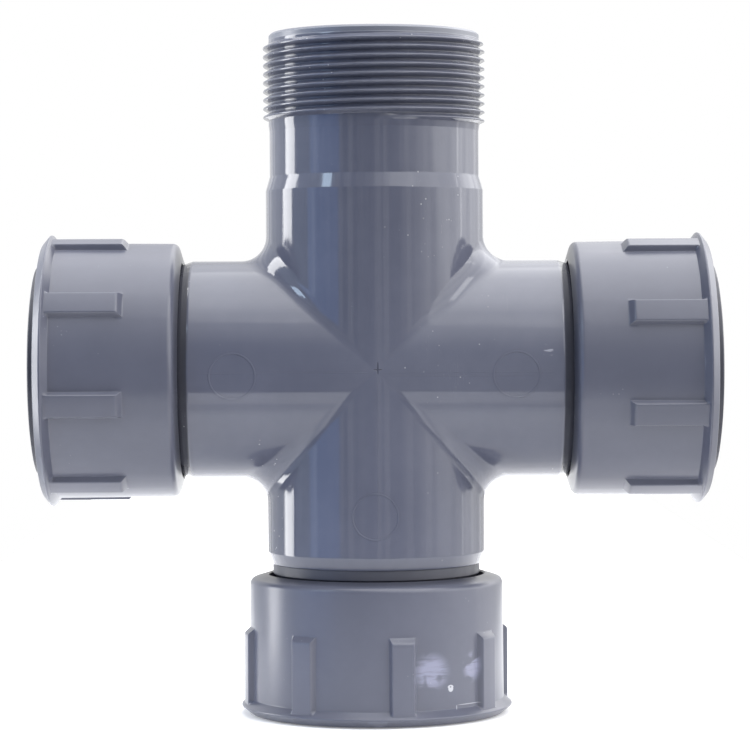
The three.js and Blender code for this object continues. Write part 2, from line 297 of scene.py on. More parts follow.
class Shell:
    """Rings of points round a port's axis, and the faces between them, in millimetres."""

    def __init__(self):
        self.points = []
        self.faces = []

    def add(self, points):
        """New points. Gives their numbers, which the faces use."""
        first = len(self.points)
        self.points.extend(np.asarray(points, float))
        return list(range(first, len(self.points)))

    def ring(self, angles, radius, along):
        """A ring at those angles from the front. radius may hold one value for each angle."""
        radius = np.broadcast_to(radius, np.shape(angles))
        along = np.broadcast_to(along, np.shape(angles))
        return self.add(np.stack([radius * np.sin(angles), radius * np.cos(angles), along], axis=1))

    def bridge(self, first, second, closed=True):
        """Four-sided faces between two rings that have the same number of points."""
        count = len(first)
        for i in range(count if closed else count - 1):
            j = (i + 1) % count
            self.faces.append((first[i], first[j], second[j], second[i]))

    def place(self, matrix):
        self.points = [matrix @ p for p in self.points]

    def build(self, name, material):
        """The piece that the points and faces make, round the crossing's place in the frame."""
        mesh = bpy.data.meshes.new(name)
        origin = np.array([0, 0, CENTRE_HEIGHT])
        mesh.from_pydata([tuple((p + origin) * MM) for p in self.points], [], self.faces)
        work = bmesh.new()
        work.from_mesh(mesh)
        bmesh.ops.remove_doubles(work, verts=work.verts, dist=WELD_DISTANCE)
        bmesh.ops.dissolve_degenerate(work, edges=work.edges, dist=SHORTEST_EDGE)
        bmesh.ops.recalc_face_normals(work, faces=work.faces)
        work.to_mesh(mesh)
        work.free()
        mesh.shade_smooth()
        mesh.set_sharp_from_angle(angle=math.radians(SHARP_DEGREES))
        mesh.materials.append(material)
        piece = bpy.data.objects.new(name, mesh)
        bpy.context.collection.objects.link(piece)
        shading = piece.modifiers.new("even_shading", "WEIGHTED_NORMAL")
        shading.keep_sharp = True
        return piece


def even_angles(count):
    return np.arange(count) * TAU / count


def revolved(name, outline, heading, material):
    """A closed outline of (radius, along) points, turned about a port's axis."""
    shell = Shell()
    angles = even_angles(ROUND_COLUMNS)
    rings = [shell.ring(angles, radius, along) for radius, along in outline]
    for first, second in zip(rings, rings[1:] + rings[:1]):
        shell.bridge(first, second)
    shell.place(port_matrix(heading))
    return shell.build(name, material)


def whitworth_profile():
    """(share of a pitch, share of the thread's depth) from root to root, with rounded crest and root.

    The standard gives the rounding and the depth as shares of the pitch.
    """
    rounding = 0.1373
    flank = math.radians(27.5)
    depth = 0.6403
    points = []
    for k in range(5):
        turn = (math.pi / 2 - flank) * k / 4
        points.append((rounding * math.sin(turn), rounding * (1 - math.cos(turn))))
    for k in range(6):
        turn = (math.pi / 2 - flank) * (5 - k) / 5
        points.append((0.5 - rounding * math.sin(turn), depth - rounding * (1 - math.cos(turn))))
    mirrored = [(1 - x, y) for x, y in reversed(points[:-1])]
    return [(x, y / depth) for x, y in points + mirrored]


def thread_between(shell, lower, upper, angles, walls, start, turns, crest_radius):
    """A helical thread on the wall between two rings, at most as long as walls says.

    walls holds the wall's radius and where it starts and ends. start is where the groove before the thread
    passes the front. The thread fades in and out at its ends.
    """
    root_radius, lowest, highest = walls
    columns = len(angles)
    profile = whitworth_profile()
    last = round(turns * columns)
    grid = []
    for g in range(last + 1):
        angle = angles[g % columns]
        low = start + PITCH * (g // columns + angle / TAU)
        high = min(low + PITCH, highest)
        low = max(low, lowest)
        fade = min(1, g / (THREAD_FADE_TURNS * columns), (last - g) / (THREAD_FADE_TURNS * columns))
        rise = (crest_radius - root_radius) * fade * (2 - fade)
        column = [] if g < columns else [grid[g - columns][-1]]
        for share, height in profile[len(column):]:
            radius = root_radius + rise * height
            along = low + (high - low) * share
            column += shell.add([(radius * math.sin(angle), radius * math.cos(angle), along)])
        grid.append(column)
    for g in range(last):
        for k in range(len(profile) - 1):
            shell.faces.append((grid[g][k], grid[g + 1][k], grid[g + 1][k + 1], grid[g][k + 1]))
    for i in range(columns - 1):
        shell.faces.append((lower[i], lower[i + 1], grid[i + 1][0], grid[i][0]))
    shell.faces.append((lower[-1], lower[0], *grid[0], grid[columns - 1][0]))
    top = [grid[g][-1] for g in range(last - columns, last + 1)]
    first = last % columns
    for i in range(columns):
        here = (first + i) % columns
        after = (here + 1) % columns
        if i == 0:
            shell.faces.append((top[1], upper[after], upper[here], *reversed(grid[last])))
        else:
            shell.faces.append((top[i], top[i + 1], upper[after], upper[here]))


# ---------------------------------------------------------------- the moulded cross

def width_share(angles):
    """How far to either side each angle from the front reaches, as a share of the radius."""
    share = np.abs(np.sin(angles))
    share[share < TINY] = 0
    return share


def crossing_rings(shell, angles):
    """Rings from the diagonal planes, where the arms meet, over the crotch fillet to the arm's cylinder."""
    reach = ARM_RADIUS + CROTCH_FILLET
    across = width_share(angles)
    side = np.where(np.sin(angles) >= 0, 1.0, -1.0)
    front = np.cos(angles)
    ball = np.stack([reach * across * side, reach * front, reach * across], axis=1)
    to_arm = np.stack([-across * side, -front, np.zeros_like(across)], axis=1)
    to_neighbour = np.stack([np.zeros_like(across), -front, -across], axis=1)
    between = np.arccos(np.clip((to_arm * to_neighbour).sum(axis=1), -1, 1))
    rings = []
    for step in range(FILLET_STEPS + 1):
        share = 0.5 * (1 - step / FILLET_STEPS)
        safe = np.maximum(np.sin(between), TINY)
        arm_part = np.where(between > SMALL_ANGLE, np.sin((1 - share) * between) / safe, 1 - share)
        neighbour_part = np.where(between > SMALL_ANGLE, np.sin(share * between) / safe, share)
        direction = to_arm * arm_part[:, None] + to_neighbour * neighbour_part[:, None]
        rings.append(shell.add(ball + CROTCH_FILLET * direction))
    return rings


def bore_crossing_ring(shell, angles):
    """The ring in the diagonal planes where one arm's bore meets its neighbours'."""
    unit_ring = np.stack([np.sin(angles), np.cos(angles), width_share(angles)], axis=1)
    return shell.add(BORE_RADIUS * unit_ring)


def swivel_arm(shell, angles):
    """An arm's stepped end and the socket in it. Gives its first and last rings."""
    corners = [
        (ARM_RADIUS, SWIVEL_STEP_START, 1.2),
        (SWIVEL_ARM_END_RADIUS, SWIVEL_ARM_END, 0.25),
        (SOCKET_RADIUS, SWIVEL_ARM_END, 0.2),
        (SOCKET_RADIUS, SOCKET_FLOOR, 0.2),
        (BORE_RADIUS, SOCKET_FLOOR, 0.3),
    ]
    guide = [(ARM_RADIUS, ARM_GUIDE, 0), *corners, (BORE_RADIUS, BORE_GUIDE, 0)]
    rings = [shell.ring(angles, radius, along) for radius, along in rounded_outline(guide)[1:-1]]
    for first, second in zip(rings, rings[1:]):
        shell.bridge(first, second)
    return rings[0], rings[-1]


def threaded_arm(shell, angles):
    """The top arm's relief, male thread and square end. Gives its first and last rings."""
    outside = [
        (ARM_RADIUS, ARM_GUIDE, 0),
        (ARM_RADIUS, PORT_STEP_START, 1.2),
        (PORT_RELIEF_RADIUS, PORT_STEP_END, 1.2),
        (PORT_RELIEF_RADIUS, THREAD_BLANK_START - RELIEF_CONE, 0.5),
        (MALE_ROOT_RADIUS, THREAD_BLANK_START, 0),
    ]
    inside = [
        (MALE_ROOT_RADIUS, THREAD_BLANK_END, 0),
        (LEAD_IN_RADIUS, THREAD_BLANK_END + LEAD_IN_CONE, 0.2),
        (LEAD_IN_RADIUS, PORT_END - EDGE_CHAMFER, 0.2),
        (LEAD_IN_RADIUS - EDGE_CHAMFER, PORT_END, 0.2),
        (BORE_RADIUS + EDGE_CHAMFER, PORT_END, 0.2),
        (BORE_RADIUS, PORT_END - EDGE_CHAMFER, 0.2),
        (BORE_RADIUS, BORE_GUIDE, 0),
    ]
    outer = [shell.ring(angles, radius, along) for radius, along in rounded_outline(outside)[1:]]
    inner = [shell.ring(angles, radius, along) for radius, along in rounded_outline(inside)[:-1]]
    for rings in (outer, inner):
        for first, second in zip(rings, rings[1:]):
            shell.bridge(first, second)
    thread_between(
        shell,
        outer[-1],
        inner[0],
        angles,
        (MALE_ROOT_RADIUS, THREAD_BLANK_START + MALE_THREAD_INSET, THREAD_BLANK_END - MALE_THREAD_INSET),
        MALE_THREAD_START,
        MALE_THREAD_TURNS,
        MALE_CREST_RADIUS,
    )
    return outer[0], inner[-1]


def fine_line(shell, route, half_width, height, closed=False):
    """A fine raised line along a route of (point, outward normal) pairs."""
    count = len(route)
    rows = []
    for i, (point, normal) in enumerate(route):
        before = route[i - 1][0] if closed or i else point
        after = route[(i + 1) % count][0] if closed or i + 1 < count else point
        ahead = (after - before) / np.linalg.norm(after - before)
        across = np.cross(normal, ahead)
        section = [(-1, -LINE_EMBED), (-0.5, height), (0.5, height), (1, -LINE_EMBED)]
        rows.append(shell.add([point + across * half_width * x + normal * y for x, y in section]))
    for first, second in zip(rows, rows[1:] + rows[:1] if closed else rows[1:]):
        shell.bridge(first, second)
    if not closed:
        shell.faces.append(tuple(rows[0]))
        shell.faces.append(tuple(reversed(rows[-1])))


def on_arm(heading, angle, along):
    """A point on an arm and its outward normal. The angle is from the front, in radians."""
    normal = np.array([math.sin(angle), math.cos(angle), 0])
    matrix = port_matrix(heading)
    return matrix @ (normal * ARM_RADIUS + np.array([0, 0, along])), matrix @ normal


def pin_mark(shell, heading, sideways, along):
    """The round witness line that an ejector pin leaves on the front of an arm."""
    route = []
    for turn in even_angles(72):
        angle = (sideways + PIN_MARK_RADIUS * math.sin(turn)) / ARM_RADIUS
        route.append(on_arm(heading, angle, along + PIN_MARK_RADIUS * math.cos(turn)))
    fine_line(shell, route, PIN_LINE_HALF_WIDTH, PIN_LINE_HEIGHT, closed=True)


def parting_line(shell, heading, sideways):
    """The faint line that two halves of a mould leave along the front of an arm."""
    distances = np.linspace(PARTING_START, PARTING_END, 16)
    route = [on_arm(heading, sideways / ARM_RADIUS, along) for along in distances]
    fine_line(shell, route, PARTING_HALF_WIDTH, PARTING_HEIGHT)


def cross_moulding(material):
    """Four arms that meet in the diagonal planes, and the mould's fine lines on their fronts."""
    whole = Shell()
    angles = even_angles(BODY_COLUMNS)
    headings = [0] + [port["heading"] for port in SWIVEL_PORTS.values()]
    for heading in headings:
        arm = Shell()
        crossing = crossing_rings(arm, angles)
        for first, second in zip(crossing, crossing[1:]):
            arm.bridge(first, second)
        outer, inner = threaded_arm(arm, angles) if heading == 0 else swivel_arm(arm, angles)
        arm.bridge(crossing[-1], outer)
        arm.bridge(inner, bore_crossing_ring(arm, angles))
        arm.place(port_matrix(heading))
        offset = len(whole.points)
        whole.points.extend(arm.points)
        whole.faces.extend(tuple(i + offset for i in face) for face in arm.faces)
    for name, (sideways, along) in PIN_MARKS.items():
        pin_mark(whole, SWIVEL_PORTS[name]["heading"], sideways, along)
    for name, sideways in PARTING_LINES:
        parting_line(whole, SWIVEL_PORTS[name]["heading"], sideways)
    return whole.build("cross_moulding", material)


# ---------------------------------------------------------------- swivel port pieces

def tail_moulding(side, heading, material):
    """The neck that a nut turns on: a spigot, a shoulder, and a collar with a groove in its end."""
    groove = SEAL_SECTION_RADIUS + SEAL_GAP
    groove_floor = TAIL_END + SEAL_STANDS_PROUD - 2 * SEAL_SECTION_RADIUS - SEAL_GAP
    drop = SHOULDER_RADIUS - NECK_RADIUS
    corners = [
        (TAIL_BORE_RADIUS, SOCKET_FLOOR + SEAL_GAP, 0.3),
        (SPIGOT_RADIUS, SOCKET_FLOOR + SEAL_GAP, 0.5),
        (SPIGOT_RADIUS, SHOULDER_START, 0),
        (SHOULDER_RADIUS, SHOULDER_START, 0.1),
        (SHOULDER_RADIUS, SHOULDER_END, 0.2),
        (NECK_RADIUS, SHOULDER_END + drop, 0.2),
        (NECK_RADIUS, COLLAR_START, 0.3),
        (COLLAR_RADIUS, COLLAR_START, 0.2),
        (COLLAR_RADIUS, TAIL_END, 0.3),
        (SEAL_RADIUS + groove, TAIL_END, 0.12),
        (SEAL_RADIUS + groove, groove_floor, 0.2),
        (SEAL_RADIUS - groove, groove_floor, 0.2),
        (SEAL_RADIUS - groove, TAIL_END, 0.12),
        (TAIL_BORE_RADIUS, TAIL_END, 0.4),
    ]
    return revolved(side + "_tail_moulding", rounded_outline(corners), heading, material)


def face_seal(side, heading, material):
    """The O-ring, which stands a little proud of the tailpiece's end."""
    middle = TAIL_END + SEAL_STANDS_PROUD - SEAL_SECTION_RADIUS
    outline = []
    for turn in even_angles(20):
        radius = SEAL_RADIUS + SEAL_SECTION_RADIUS * math.cos(turn)
        outline.append((radius, middle + SEAL_SECTION_RADIUS * math.sin(turn)))
    return revolved(side + "_face_seal", outline, heading, material)


def snap_ring(side, heading, nut_face, material):
    """The split retaining ring. Its gap is on the far side from the port's sideways direction."""
    shell = Shell()
    half_gap = math.asin(RING_SPLIT / 2 / RING_INNER_RADIUS)
    angles = np.linspace(half_gap, TAU - half_gap, ROUND_COLUMNS) - math.pi / 2
    start = nut_face + RING_FROM_NUT_FACE
    corners = [
        (RING_INNER_RADIUS, start, 0.3),
        (RING_OUTER_RADIUS, start, 0.3),
        (RING_OUTER_RADIUS, start + RING_THICKNESS, 0.3),
        (RING_INNER_RADIUS, start + RING_THICKNESS, 0.3),
    ]
    rings = [shell.ring(angles, radius, along) for radius, along in rounded_outline(corners, 3)]
    for first, second in zip(rings, rings[1:] + rings[:1]):
        shell.bridge(first, second, closed=False)
    shell.faces.append(tuple(ring[0] for ring in rings))
    shell.faces.append(tuple(ring[-1] for ring in reversed(rings)))
    shell.place(port_matrix(heading))
    return shell.build(side + "_snap_ring", material)


def soft_step(x):
    """0 below 0, 1 above 1 and straight between, with both corners rounded."""
    foot = RIB_FOOT_ROUNDING
    top = RIB_TOP_ROUNDING
    low = np.where(x < foot, (x + foot) ** 2 / (4 * foot), x)
    low = np.where(x < -foot, 0, low)
    high = np.where(x > 1 - top, 1 - (1 + top - x) ** 2 / (4 * top), low)
    return np.where(x > 1 + top, 1, high)


def rib_angles():
    """Angles of the nut's columns, close together at the ribs' sides."""
    slope = RIB_BASE_ANGLE - RIB_TOP_ANGLE
    half_period = math.pi / RIB_COUNT
    gap = half_period - RIB_BASE_ANGLE
    on_top = [RIB_TOP_ANGLE * share for share in (0, 0.35, 0.7)]
    side_shares = (-0.5, -0.3, -0.15, 0, 0.15, 0.3, 0.5, 0.7, 0.9, 1, 1.12)
    on_side = [RIB_TOP_ANGLE + slope * share for share in side_shares]
    between = [RIB_BASE_ANGLE + gap * share for share in (0.08, 0.25, 0.45, 0.65, 0.85)]
    half = on_top + on_side + between
    one = sorted([-a for a in half[1:]] + half + [half_period])
    return np.array([a + 2 * half_period * i for i in range(RIB_COUNT) for a in one])


def rib_height(angles, along):
    """How much of a rib's full height stands at each angle, at one distance from the nut's inner face."""
    period = TAU / RIB_COUNT
    offset = np.abs((angles + period / 2) % period - period / 2)
    across = (RIB_BASE_ANGLE - offset) / (RIB_BASE_ANGLE - RIB_TOP_ANGLE)
    lengthwise = (along - RIB_START) / RIB_BEVEL
    return soft_step(np.minimum(across, lengthwise))


def nut_outside():
    """(radius, distance from the inner face) from the lip's hole over the outside to the mouth.

    The wall and the rim's cone have extra points, close together where the ribs start and end.
    """
    corners = [
        (RING_SEAT_RADIUS, LIP_THICKNESS, 0),
        (LIP_RADIUS, LIP_THICKNESS, 0.3),
        (LIP_RADIUS, LIP_CHAMFER - LIP_RISE, 0.15),
        (LIP_RADIUS + LIP_CHAMFER, -LIP_RISE, 0.15),
        (NUT_RADIUS, NUT_CORNER_START, NUT_CORNER),
        (NUT_RADIUS_AT_RIM, RIM_CONE_START, 0.25),
        (RIM_RADIUS, RIM_START, 0.35),
        (RIM_RADIUS, RIM_END, 0.35),
        (RIM_RADIUS - RIM_EDGE, NUT_LENGTH, 1),
        (MOUTH_RADIUS, NUT_LENGTH, 0.3),
        (FEMALE_ROOT_RADIUS, MOUTH_START, 0),
    ]
    points = rounded_outline(corners)
    bevel_shares = (-0.25, -0.12, 0, 0.12, 0.3, 0.5, 0.7, 0.85, 1, 1.15, 1.3, 1.6)
    on_bevel = [RIB_START + RIB_BEVEL * share for share in bevel_shares]
    steps = [3, 6, 9, 11.5, *on_bevel, 17.5, 20, 22.5, 25, 27.5, 29.5, 31.2]
    slope = (NUT_RADIUS_AT_RIM - NUT_RADIUS) / RIM_CONE_START
    wall = [np.array([NUT_RADIUS + slope * step, step]) for step in steps]
    cone_start = np.array([NUT_RADIUS_AT_RIM, RIM_CONE_START])
    cone = np.array([RIM_RADIUS, RIM_START]) - cone_start
    rib_end = (RIB_TOP_RADIUS - NUT_RADIUS_AT_RIM) / cone[0]
    cone_shares = (0.15, 0.3, 0.45, rib_end - 0.04, rib_end, rib_end + 0.04, 0.8)
    on_cone = [cone_start + cone * share for share in cone_shares]
    before_cone = next(i for i, point in enumerate(points) if point[1] > steps[-1])
    after_cone = next(i for i, point in enumerate(points) if point[1] > on_cone[-1][1])
    return points[:before_cone] + wall + points[before_cone:after_cone] + on_cone + points[after_cone:]


def nut_moulding(side, heading, nut_face, rib_turn, material):
    """A swivel nut: lip, ribbed outside, rim and mouth, and inside it the thread and the ring's seat."""
    shell = Shell()
    angles = rib_angles()
    rings = []
    for radius, along in nut_outside():
        ribbed = radius
        if radius > MOUTH_RADIUS and along < RIM_START:
            ribbed = np.maximum(radius, radius + (RIB_TOP_RADIUS - radius) * rib_height(angles, along))
        rings.append(shell.ring(angles, ribbed, nut_face + along))
    for first, second in zip(rings, rings[1:]):
        shell.bridge(first, second)
    foot = nut_face + FEMALE_THREAD_START - PITCH / 2
    thread_foot = shell.ring(angles, FEMALE_ROOT_RADIUS, foot)
    seat_edge = shell.ring(angles, FEMALE_ROOT_RADIUS, nut_face + RING_SEAT_END)
    seat_wall = shell.ring(angles, RING_SEAT_RADIUS, nut_face + RING_SEAT_END)
    thread_between(
        shell,
        thread_foot,
        rings[-1],
        angles,
        (FEMALE_ROOT_RADIUS, foot + FEMALE_THREAD_INSET, nut_face + MOUTH_START - FEMALE_THREAD_INSET),
        nut_face + FEMALE_THREAD_START,
        FEMALE_THREAD_TURNS,
        FEMALE_CREST_RADIUS,
    )
    shell.bridge(seat_edge, thread_foot)
    shell.bridge(seat_wall, seat_edge)
    shell.bridge(rings[0], seat_wall)
    turn = math.radians(rib_turn)
    spin = np.array([[math.cos(turn), math.sin(turn), 0], [-math.sin(turn), math.cos(turn), 0], [0, 0, 1]])
    shell.place(port_matrix(heading) @ spin)
    return shell.build(side + "_nut_moulding", material)


# ---------------------------------------------------------------- materials

class Finish:
    """A procedural material, with short ways to make and join its nodes, in metres in the object's space."""

    def __init__(self, name, ior):
        self.material = bpy.data.materials.new(name)
        self.material.use_nodes = True
        self.nodes = self.material.node_tree.nodes
        self.links = self.material.node_tree.links
        self.shader = self.nodes["Principled BSDF"]
        self.shader.inputs["IOR"].default_value = ior
        self.place = self.nodes.new("ShaderNodeTexCoord").outputs["Object"]

    def add(self, kind, sockets, output=0, **settings):
        """A new node with its sockets fed. Gives one of its outputs."""
        node = self.nodes.new("ShaderNode" + kind)
        for name, value in settings.items():
            setattr(node, name, value)
        for key, value in sockets.items():
            self.feed(node.inputs[key], value)
        return node.outputs[output]

    def feed(self, socket, value):
        if isinstance(value, bpy.types.NodeSocket):
            self.links.new(value, socket)
        else:
            socket.default_value = value

    def axis(self, name):
        return self.add("SeparateXYZ", {"Vector": self.place}, output=name)

    def sideways(self):
        """How far from the middle plane, to the left or the right."""
        return self.maths("ABSOLUTE", self.axis("X"), 0.0)

    def stretched(self, turn, scale):
        return self.add("Mapping", {"Vector": self.place, "Rotation": turn, "Scale": scale})

    def noise(self, scale, detail=2.0, space=None):
        return self.add("TexNoise", {"Vector": space or self.place, "Scale": scale, "Detail": detail})

    def dots(self, scale):
        return self.add("TexVoronoi", {"Vector": self.place, "Scale": scale})

    def spread(self, source, low, high, to_low=0.0, to_high=1.0):
        """A soft step from to_low, where the source is low, to to_high, where it is high."""
        sockets = {0: source, 1: low, 2: high, 3: to_low, 4: to_high}
        return self.add("MapRange", sockets, interpolation_type="SMOOTHSTEP")

    def maths(self, operation, first, second):
        return self.add("Math", {0: first, 1: second}, operation=operation)

    def mix(self, factor, first, second):
        return self.add("Mix", {0: factor, 6: first, 7: second}, output=2, data_type="RGBA")

    def bump(self, height, strength, distance, below=None):
        sockets = {"Height": height, "Strength": strength, "Distance": distance}
        if below:
            sockets["Normal"] = below
        return self.add("Bump", sockets)

    def uneven(self, scale, detail, low, high):
        """A value that wanders between low and high."""
        return self.spread(self.noise(scale, detail), 0.3, 0.75, low, high)

    def stained(self, colour, where, strength, stain):
        """The colour, stained where the mask is high."""
        return self.mix(self.maths("MULTIPLY", where, strength), colour, stain)

    def raised(self, value, where, amount):
        """The value, with the amount added where the mask is high."""
        return self.maths("ADD", value, self.maths("MULTIPLY", where, amount))

    def finish(self, colour, roughness, normal):
        self.feed(self.shader.inputs["Base Color"], colour)
        self.feed(self.shader.inputs["Roughness"], roughness)
        self.feed(self.shader.inputs["Normal"], normal)
        return self.material

    def mottled(self, dark, light, scale):
        """Two close colours in soft clouds with a fine grain in them."""
        clouds = self.noise(scale, 4.0)
        grain = self.noise(scale * 6, 2.0)
        both = self.maths("MULTIPLY_ADD", grain, 0.35)
        self.feed(both.node.inputs[2], clouds)
        return self.mix(self.spread(both, 0.45, 0.95), dark, light)

    def dust(self, scale, size, share):
        """Small specks, kept only where a broad noise is high."""
        specks = self.spread(self.dots(scale), size * 0.4, size, 1.0, 0.0)
        places = self.spread(self.noise(scale * 0.13), 1 - share, 1.08 - share)
        return self.maths("MULTIPLY", specks, places)

    def streaks(self):
        """Noise that is drawn out along a slant on the front, as a wipe leaves it."""
        return self.noise(1.0, 3.0, self.stretched((0.0, 0.35, 0.0), (160.0, 1.0, 1100.0)))

    def drawn_lines(self):
        """Shallow ripples that run along each arm, as the mould's polished cores leave them."""
        upright = self.noise(1.0, 2.0, self.stretched((0.0, 0.0, 0.0), (620.0, 620.0, 9.0)))
        level = self.noise(1.0, 2.0, self.stretched((0.0, 0.0, 0.0), (9.0, 620.0, 620.0)))
        height = self.maths("SUBTRACT", self.axis("Z"), CENTRE_HEIGHT * MM)
        rise = self.maths("ABSOLUTE", height, 0.0)
        on_side_arm = self.spread(self.maths("SUBTRACT", self.sideways(), rise), -0.001, 0.001)
        return self.mix(on_side_arm, upright, level)

    def scratches(self, turn, scale, width, share):
        """Fine hairlines: where a noise that is stretched along one direction passes its middle value."""
        hair = self.noise(1.0, 1.0, self.stretched(turn, scale))
        off = self.maths("ABSOLUTE", self.maths("SUBTRACT", hair, 0.5), 0.0)
        line = self.spread(off, 0.0, width, 1.0, 0.0)
        places = self.spread(self.noise(55.0, 2.0), 1 - share, 1.1 - share)
        return self.maths("MULTIPLY", line, places)

    def blot(self, centre, half_size, core=0.7):
        """1 inside an ellipse on the front, fading out past its core.

        centre and half_size are (x, z) in millimetres.
        """
        stretch = (1 / (half_size[0] * MM), 0, 1 / (half_size[1] * MM))
        middle = (-centre[0] / half_size[0], 0, -centre[1] / half_size[1])
        flat = self.add("Mapping", {"Vector": self.place, "Location": middle, "Scale": stretch})
        reach = self.add("VectorMath", {0: flat}, output="Value", operation="LENGTH")
        front = self.spread(self.axis("Y"), -0.002, 0.0, 1.0, 0.0)
        return self.maths("MULTIPLY", self.spread(reach, core, 1.0, 1.0, 0.0), front)

    def two_blots(self, marks):
        first, second = [self.blot(centre, half_size) for centre, half_size in marks]
        return self.maths("MAXIMUM", first, second)

    def edges(self, low, high):
        """High along convex edges."""
        return self.spread(self.add("NewGeometry", {}, output="Pointiness"), low, high)


def body_finish():
    """Glossy moulded plastic, with the marks of the mould, the lathe and handling, and painted shade on the
    side arms' cones.
    """
    look = Finish("body_moulding", ior=1.52)
    colour = look.mottled(BODY_DARK, BODY_LIGHT, scale=45.0)
    specks = look.dust(scale=420.0, size=0.13, share=0.44)
    hairs = look.scratches((0.2, 0.5, 0.4), (900.0, 40.0, 60.0), width=0.004, share=0.42)
    scuff = look.maths("MULTIPLY", look.blot(*SCUFF), look.spread(look.streaks(), 0.55, 0.66))
    cross_mark = look.two_blots(CROSS_MARK)
    machined = look.spread(look.axis("Z"), MACHINED_START * MM, (MACHINED_START + MACHINED_FADE) * MM)
    colour = look.stained(colour, machined, 0.8, MACHINED)
    # Painted shade: the side arms' step cones are darkened where the nuts keep light from them
    painted_cone_shade = look.spread(look.sideways(), PAINTED_CONE_SHADE_START * MM, (PAINTED_CONE_SHADE_START + PAINTED_CONE_SHADE_FADE) * MM, 0.0, 0.7)
    colour = look.mix(painted_cone_shade, colour, PAINTED_CONE_SHADE)
    colour = look.stained(colour, specks, 0.45, BODY_SPECKS)
    colour = look.stained(colour, hairs, 0.15, BODY_HAIRS)
    colour = look.stained(colour, scuff, 0.55, SCUFFED)
    colour = look.stained(colour, cross_mark, 0.8, CROSS_MARK_SHADE)
    rough = look.uneven(140.0, 4.0, low=0.07, high=0.11)
    rough = look.raised(rough, specks, 0.3)
    rough = look.raised(rough, machined, 0.25)
    rough = look.raised(rough, hairs, 0.12)
    peel = look.bump(look.noise(230.0, 2.0), 0.2, 0.00004)
    drawn = look.bump(look.drawn_lines(), 0.6, 0.00004, peel)
    fine = look.bump(look.maths("ADD", specks, scuff), 0.3, 0.00002, drawn)
    sunk = look.bump(look.maths("SUBTRACT", 1.0, cross_mark), 0.6, 0.0001, fine)
    return look.finish(colour, rough, sunk)


def nut_finish(side, handled):
    """The nuts' satin skin. The handled one has a gate mark, flash and the smears of a wiping thumb."""
    look = Finish(side + "_nut_moulding", ior=1.5)
    colour = look.mottled(NUT_DARK, NUT_LIGHT, scale=70.0)
    specks = look.dust(scale=500.0, size=0.12, share=0.4)
    worn = look.edges(0.53, 0.6)
    colour = look.stained(colour, specks, 0.35, NUT_SPECKS)
    colour = look.stained(colour, worn, 0.25, NUT_WORN)
    reach = look.maths("SUBTRACT", CENTRE_HEIGHT * MM, look.axis("Z")) if handled else look.sideways()
    fade_start, fade_end = [(SWIVEL_PORTS[side]["nut_face"] - distance) * MM for distance in PAINTED_LIP_SHADE_FADE]
    # Painted shade: darker near the nut's lip, where it meets the tailpiece
    colour = look.mix(look.spread(reach, fade_start, fade_end, 0.75, 0.0), colour, PAINTED_LIP_SHADE)
    rough = look.uneven(90.0, 2.0, low=0.28, high=0.31)
    if handled:
        for centre, half_size in SMEARS:
            streaks = look.spread(look.streaks(), 0.22, 0.55)
            smear = look.maths("MULTIPLY", look.blot(centre, half_size, core=0.35), streaks)
            smear = look.maths("MULTIPLY", smear, look.spread(look.noise(210.0, 1.0), 0.42, 0.5))
            colour = look.stained(colour, smear, 0.5, SMEARED)
            rough = look.raised(rough, smear, 0.12)
        colour = look.stained(colour, look.two_blots(GATE_MARK), 0.8, GATE_SCAR)
        colour = look.stained(colour, look.blot(*GATE_PIT, core=0.5), 0.8, GATE_PIT_SHADE)
        colour = look.stained(colour, look.two_blots(FLASH_LINES), 0.5, FLASH)
    waves = look.bump(look.noise(120.0, 1.0), 0.1, 0.00006)
    return look.finish(colour, rough, look.bump(specks, 0.2, 0.00002, waves))


def tail_finish():
    """Dark plastic, turned on a lathe."""
    look = Finish("tail_moulding", ior=1.4)
    colour = look.mottled(TAIL_DARK, TAIL_LIGHT, scale=60.0)
    specks = look.dust(scale=460.0, size=0.13, share=0.45)
    colour = look.stained(colour, specks, 0.4, TAIL_SPECKS)
    rough = look.uneven(220.0, 4.0, low=0.35, high=0.5)
    lathe = look.noise(1.0, 2.0, look.stretched((0.0, 0.0, 0.0), (1800.0, 30.0, 30.0)))
    return look.finish(colour, rough, look.bump(lathe, 0.2, 0.00002))


def acetal_finish():
    """Natural acetal, for the retaining rings."""
    look = Finish("ring_acetal", ior=1.48)
    colour = look.mottled(ACETAL_DARK, ACETAL_LIGHT, scale=90.0)
    rough = look.uneven(300.0, 3.0, low=0.34, high=0.5)
    return look.finish(colour, rough, look.bump(look.noise(900.0, 2.0), 0.2, 0.00003))


def rubber_finish():
    """Black rubber with a pale bloom, for the O-rings."""
    look = Finish("seal_rubber", ior=1.45)
    colour = look.mottled(RUBBER_DARK, RUBBER_LIGHT, scale=120.0)
    bloom = look.dust(scale=700.0, size=0.2, share=0.5)
    colour = look.stained(colour, bloom, 0.3, RUBBER_BLOOM)
    rough = look.uneven(400.0, 4.0, low=0.45, high=0.7)
    return look.finish(colour, rough, look.bump(look.noise(1500.0, 3.0), 0.3, 0.00003))


